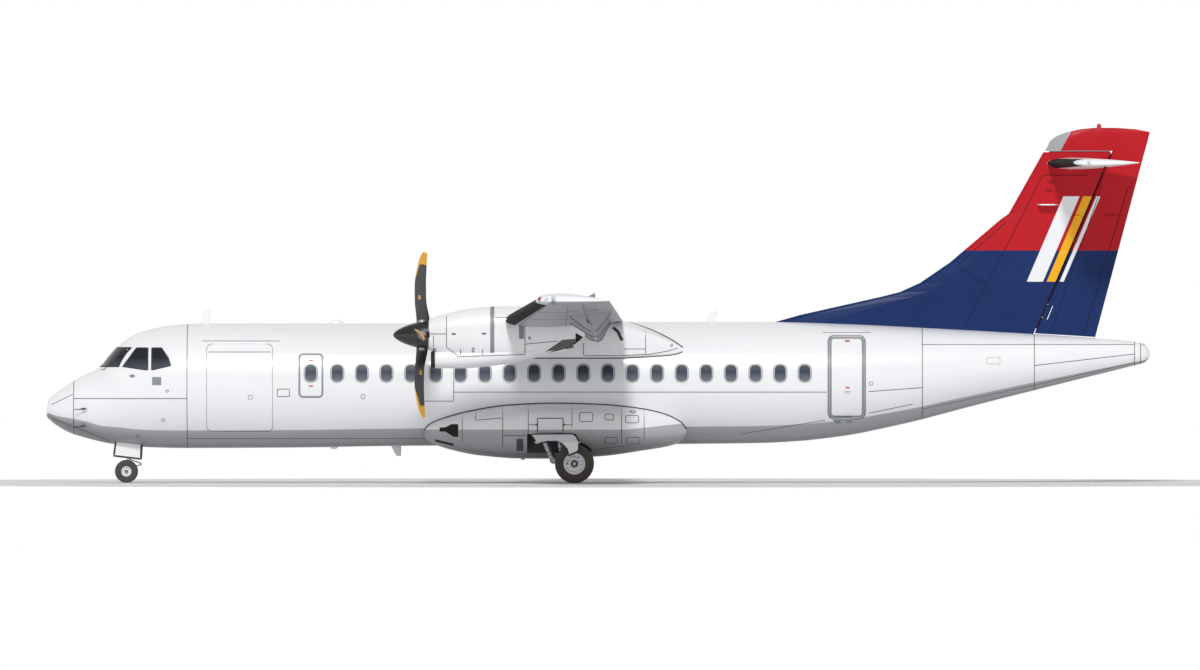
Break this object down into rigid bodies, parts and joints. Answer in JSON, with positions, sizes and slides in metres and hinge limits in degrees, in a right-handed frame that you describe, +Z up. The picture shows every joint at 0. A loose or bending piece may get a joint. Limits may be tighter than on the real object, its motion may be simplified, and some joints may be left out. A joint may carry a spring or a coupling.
{
  "type": "turboprop airliner",
  "caption": "High-wing turboprop airliner with a T-tail, parked on its gear. Doors open, flaps and control surfaces hinge, propellers and wheels turn.",
  "frame": {"origin": "on the ground under the middle of the overall length and span", "axes": "+X towards the tail, +Y to the aircraft's right, +Z up; the nose points to -X"},
  "size_m": [27.17, 27.04, 8.735],
  "materials": {
    "white_paint": "gloss white aircraft paint",
    "tail_paint": "gloss navy and red aircraft paint",
    "propeller_paint": "satin near-black paint",
    "gear_paint": "gloss light grey paint",
    "wheel_paint": "satin light grey paint",
    "engine_metal": "plain metal, out of sight",
    "tyre_rubber": "matt black rubber",
    "cockpit_glass": "dark tinted cockpit glass"
  },
  "bodies": {
    "airframe": {"radome": "white_paint", "cockpit_section": "white_paint", "forward_fuselage": "white_paint", "centre_fuselage": "white_paint", "rear_fuselage": "white_paint", "aft_fuselage": "white_paint", "tail_cone": "white_paint", "windshield_left": "cockpit_glass", "windshield_right": "cockpit_glass", "cockpit_side_window_left": "cockpit_glass", "cockpit_side_window_right": "cockpit_glass", "cockpit_rear_window_left": "cockpit_glass", "cockpit_rear_window_right": "cockpit_glass", "nose_leg": "gear_paint", "nose_gear_door_left": "white_paint", "nose_gear_door_right": "white_paint", "wing_centre": "white_paint", "wing_left": "white_paint", "wing_right": "white_paint", "fin": "tail_paint", "tailplane": "white_paint", "wing_root_fairing": "white_paint", "nacelle_left": "white_paint", "nacelle_right": "white_paint", "engine_left": "engine_metal", "engine_right": "engine_metal", "gear_fairing_left": "white_paint", "gear_fairing_right": "white_paint", "main_leg_left": "gear_paint", "main_leg_right": "gear_paint", "main_gear_door_left": "white_paint", "main_gear_door_right": "white_paint"},
    "cargo_door": {"cargo_door": "white_paint"},
    "passenger_door": {"passenger_door": "white_paint"},
    "service_door": {"service_door": "white_paint"},
    "nose_steering": {"nose_fork": "gear_paint"},
    "nose_wheels": {"nose_rims": "wheel_paint", "nose_tyre_left": "tyre_rubber", "nose_tyre_right": "tyre_rubber"},
    "main_wheels_left": {"main_rims_left": "wheel_paint", "main_tyre_left_inner": "tyre_rubber", "main_tyre_left_outer": "tyre_rubber"},
    "main_wheels_right": {"main_rims_right": "wheel_paint", "main_tyre_right_inner": "tyre_rubber", "main_tyre_right_outer": "tyre_rubber"},
    "propeller_left": {"propeller_left": "propeller_paint", "spinner_left": "propeller_paint"},
    "propeller_right": {"propeller_right": "propeller_paint", "spinner_right": "propeller_paint"},
    "rudder": {"rudder": "tail_paint"},
    "elevator_left": {"elevator_left": "white_paint"},
    "elevator_right": {"elevator_right": "white_paint"},
    "aileron_left": {"aileron_left": "white_paint"},
    "aileron_right": {"aileron_right": "white_paint"},
    "flap_inner_left": {"flap_inner_left": "white_paint"},
    "flap_inner_right": {"flap_inner_right": "white_paint"},
    "flap_outer_left": {"flap_outer_left": "white_paint"},
    "flap_outer_right": {"flap_outer_right": "white_paint"}
  },
  "joints": [
    {"name": "cargo_door_swing", "type": "hinge", "parent": "airframe", "child": "cargo_door", "pos_m": [-8.805, -1.07477, 3.435], "axis": [-1, 0, 0], "range_deg": [0, 100]},
    {"name": "airstair_swing", "type": "hinge", "parent": "airframe", "child": "passenger_door", "pos_m": [5.775, -1.06835, 1.572], "axis": [1, 0, 0], "range_deg": [0, 128]},
    {"name": "service_door_swing", "type": "hinge", "parent": "airframe", "child": "service_door", "pos_m": [5.692, 1.41752, 2.5], "axis": [0, 0, 1], "range_deg": [0, 110]},
    {"name": "nose_wheel_steering", "type": "hinge", "parent": "airframe", "child": "nose_steering", "pos_m": [-11.572, 0, 0.64], "axis": [0, 0, 1], "range_deg": [-60, 60]},
    {"name": "nose_wheel_spin", "type": "hinge", "parent": "nose_steering", "child": "nose_wheels", "pos_m": [-11.604, 0, 0.283], "axis": [0, 1, 0], "continuous": true},
    {"name": "main_wheel_spin_left", "type": "hinge", "parent": "airframe", "child": "main_wheels_left", "pos_m": [-0.578, -2.05, 0.48], "axis": [0, 1, 0], "continuous": true},
    {"name": "main_wheel_spin_right", "type": "hinge", "parent": "airframe", "child": "main_wheels_right", "pos_m": [-0.578, 2.05, 0.48], "axis": [0, 1, 0], "continuous": true},
    {"name": "propeller_spin_left", "type": "hinge", "parent": "airframe", "child": "propeller_left", "pos_m": [-4.33, -4.05, 3.637], "axis": [1, 0, 0], "continuous": true},
    {"name": "propeller_spin_right", "type": "hinge", "parent": "airframe", "child": "propeller_right", "pos_m": [-4.33, 4.05, 3.637], "axis": [1, 0, 0], "continuous": true},
    {"name": "rudder_swing", "type": "hinge", "parent": "airframe", "child": "rudder", "pos_m": [10.9366, 0, 3.9], "axis": [0.3845, 0, 0.9231], "range_deg": [-27, 27]},
    {"name": "elevator_left_swing", "type": "hinge", "parent": "airframe", "child": "elevator_left", "pos_m": [12.52621, -0.44, 7.858], "axis": [0, 1, 0], "range_deg": [-23, 13]},
    {"name": "elevator_right_swing", "type": "hinge", "parent": "airframe", "child": "elevator_right", "pos_m": [12.52621, 0.44, 7.858], "axis": [0, 1, 0], "range_deg": [-23, 13]},
    {"name": "aileron_left_swing", "type": "hinge", "parent": "airframe", "child": "aileron_left", "pos_m": [-0.22012, -9.99, 4.30957], "axis": [0.0173, 0.9983, -0.0552], "range_deg": [-14, 14]},
    {"name": "aileron_right_swing", "type": "hinge", "parent": "airframe", "child": "aileron_right", "pos_m": [-0.22012, 9.99, 4.30957], "axis": [-0.0173, 0.9983, 0.0552], "range_deg": [-14, 14]},
    {"name": "flap_inner_left_swing", "type": "hinge", "parent": "airframe", "child": "flap_inner_left", "pos_m": [-0.02, -1.47, 3.49], "axis": [0, 1, 0], "range_deg": [0, 35]},
    {"name": "flap_inner_right_swing", "type": "hinge", "parent": "airframe", "child": "flap_inner_right", "pos_m": [-0.02, 1.47, 3.49], "axis": [0, 1, 0], "range_deg": [0, 35]},
    {"name": "flap_outer_left_swing", "type": "hinge", "parent": "airframe", "child": "flap_outer_left", "pos_m": [-0.06, -6, 3.6], "axis": [0.0172, 0.9987, -0.0482], "range_deg": [0, 35]},
    {"name": "flap_outer_right_swing", "type": "hinge", "parent": "airframe", "child": "flap_outer_right", "pos_m": [-0.06, 6, 3.6], "axis": [-0.0172, 0.9987, 0.0482], "range_deg": [0, 35]}
  ],
  "couplings": [
    {"joint": "elevator_right_swing", "follows": "elevator_left_swing", "ratio": 1},
    {"joint": "aileron_right_swing", "follows": "aileron_left_swing", "ratio": -1},
    {"joint": "flap_inner_right_swing", "follows": "flap_inner_left_swing", "ratio": 1},
    {"joint": "flap_outer_left_swing", "follows": "flap_inner_left_swing", "ratio": 1},
    {"joint": "flap_outer_right_swing", "follows": "flap_inner_left_swing", "ratio": 1}
  ]
}
